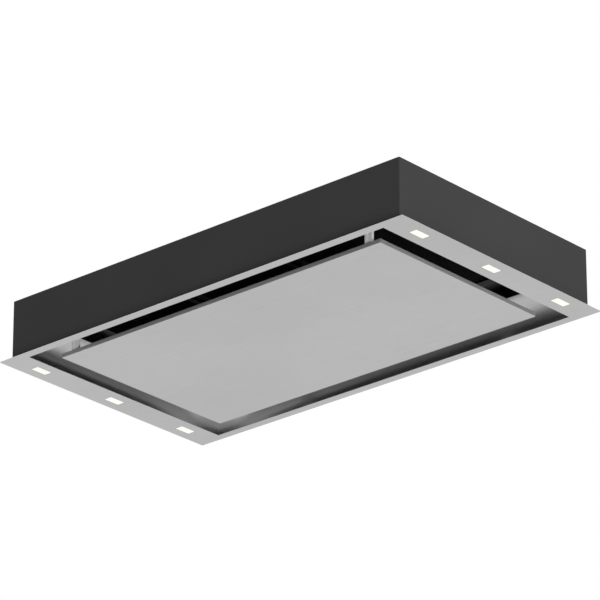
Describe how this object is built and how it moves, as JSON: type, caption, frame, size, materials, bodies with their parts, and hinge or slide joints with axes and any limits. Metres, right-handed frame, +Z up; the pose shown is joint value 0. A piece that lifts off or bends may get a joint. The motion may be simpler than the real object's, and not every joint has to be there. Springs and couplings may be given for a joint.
{
  "type": "ceiling range hood",
  "caption": "Flush ceiling hood: a stainless flange with lamps, a drop-down perimeter-suction panel, grease filters, a dark casing and a blower box with a duct collar on its roof.",
  "frame": {"origin": "middle of the flange's underside", "axes": "+X along the hood, +Y across it away from the panel's hinge, +Z up into the ceiling"},
  "size_m": [1.2, 0.68, 0.3224],
  "materials": {
    "brushed_stainless": "satin brushed stainless",
    "liner_stainless": "cold-rolled stainless, half bright",
    "painted_casing": "dark grey powder coat",
    "plate_coat": "black powder coat",
    "galvanised": "galvanised sheet",
    "fastener_steel": "zinc-plated steel",
    "bracket_steel": "zinc-plated sheet",
    "arm_steel": "bright steel",
    "magnet_black": "black moulded case",
    "lamp_lens": "lit opal lens",
    "lamp_housing": "white moulded plastic",
    "board": "circuit board",
    "filter_aluminium": "black-anodised aluminium",
    "filter_mesh": "pleated pressed mesh, black",
    "scroll_plastic": "dark moulded plastic",
    "wheel_plastic": "black moulded plastic",
    "inlet_plastic": "light moulded plastic",
    "rubber": "black rubber",
    "motor_alloy": "cast alloy",
    "flap_plastic": "grey moulded plastic"
  },
  "bodies": {
    "hood": {"flange_plate": "brushed_stainless", "recess_liner": "liner_stainless", "casing_shell": "painted_casing", "filter_plate": "plate_coat", "roof_plate": "galvanised", "blower_box": "galvanised", "blower_box_lid": "galvanised", "control_box": "galvanised", "control_box_lid": "galvanised", "duct_collar": "galvanised", "hanger_brackets": "galvanised", "roof_screws": "fastener_steel", "blower_box_screws": "fastener_steel", "scroll_bolts": "fastener_steel", "duct_rivets": "fastener_steel", "scroll_posts": "fastener_steel", "hinge_bracket_left": "bracket_steel", "hinge_bracket_right": "bracket_steel", "catch_posts": "bracket_steel", "motor_spider": "bracket_steel", "hinge_pin_left": "arm_steel", "hinge_pin_right": "arm_steel", "flap_pin": "arm_steel", "catch_magnets": "magnet_black", "filter_magnets": "magnet_black", "lamp_lenses": "lamp_lens", "lamp_housings": "lamp_housing", "lamp_driver": "lamp_housing", "terminal_block": "lamp_housing", "capacitor": "lamp_housing", "lamp_boards": "board", "control_board": "board", "scroll_housing": "scroll_plastic", "scroll_lid": "scroll_plastic", "outlet_duct": "scroll_plastic", "cable_gland": "scroll_plastic", "inlet_rings": "inlet_plastic", "rubber_grommets": "rubber", "motor_body": "motor_alloy"},
    "panel": {"panel_skin": "brushed_stainless", "panel_stiffeners": "liner_stainless", "panel_back": "liner_stainless", "hinge_arm_left": "arm_steel", "hinge_arm_right": "arm_steel", "strike_plates": "bracket_steel", "panel_rivets": "fastener_steel"},
    "filter_left": {"filter_frame_1": "filter_aluminium", "filter_mesh_1": "filter_mesh", "filter_grip_1": "filter_aluminium"},
    "filter_middle": {"filter_frame_2": "filter_aluminium", "filter_mesh_2": "filter_mesh", "filter_grip_2": "filter_aluminium"},
    "filter_right": {"filter_frame_3": "filter_aluminium", "filter_mesh_3": "filter_mesh", "filter_grip_3": "filter_aluminium"},
    "wheel": {"impeller": "wheel_plastic", "motor_shaft": "arm_steel"},
    "near_flap": {"flap_near": "flap_plastic"},
    "far_flap": {"flap_far": "flap_plastic"}
  },
  "joints": [
    {"name": "panel_hinge", "type": "hinge", "parent": "hood", "child": "panel", "pos_m": [0, -0.258, 0.048], "axis": [-1, 0, 0], "range_deg": [0, 90]},
    {"name": "filter_left_tilt", "type": "hinge", "parent": "hood", "child": "filter_left", "pos_m": [-0.296, 0.2, 0.0873], "axis": [1, 0, 0], "range_deg": [0, 8]},
    {"name": "filter_middle_tilt", "type": "hinge", "parent": "hood", "child": "filter_middle", "pos_m": [0, 0.2, 0.0873], "axis": [1, 0, 0], "range_deg": [0, 8]},
    {"name": "filter_right_tilt", "type": "hinge", "parent": "hood", "child": "filter_right", "pos_m": [0.296, 0.2, 0.0873], "axis": [1, 0, 0], "range_deg": [0, 8]},
    {"name": "wheel_spin", "type": "hinge", "parent": "hood", "child": "wheel", "pos_m": [0.055, 0.145, 0.2367], "axis": [0, 0, 1], "continuous": true},
    {"name": "far_flap_swing", "type": "hinge", "parent": "hood", "child": "far_flap", "pos_m": [-0.222, 0.064, 0.2367], "axis": [0, 0, 1], "range_deg": [0, 75], "stiffness_Nm_per_rad": 0.004, "springref_deg": -5.73},
    {"name": "near_flap_swing", "type": "hinge", "parent": "hood", "child": "near_flap", "pos_m": [-0.222, 0.064, 0.2367], "axis": [0, 0, 1], "range_deg": [-75, 0], "stiffness_Nm_per_rad": 0.004, "springref_deg": 5.73}
  ],
  "couplings": [
    {"joint": "near_flap_swing", "follows": "far_flap_swing", "ratio": -1}
  ]
}
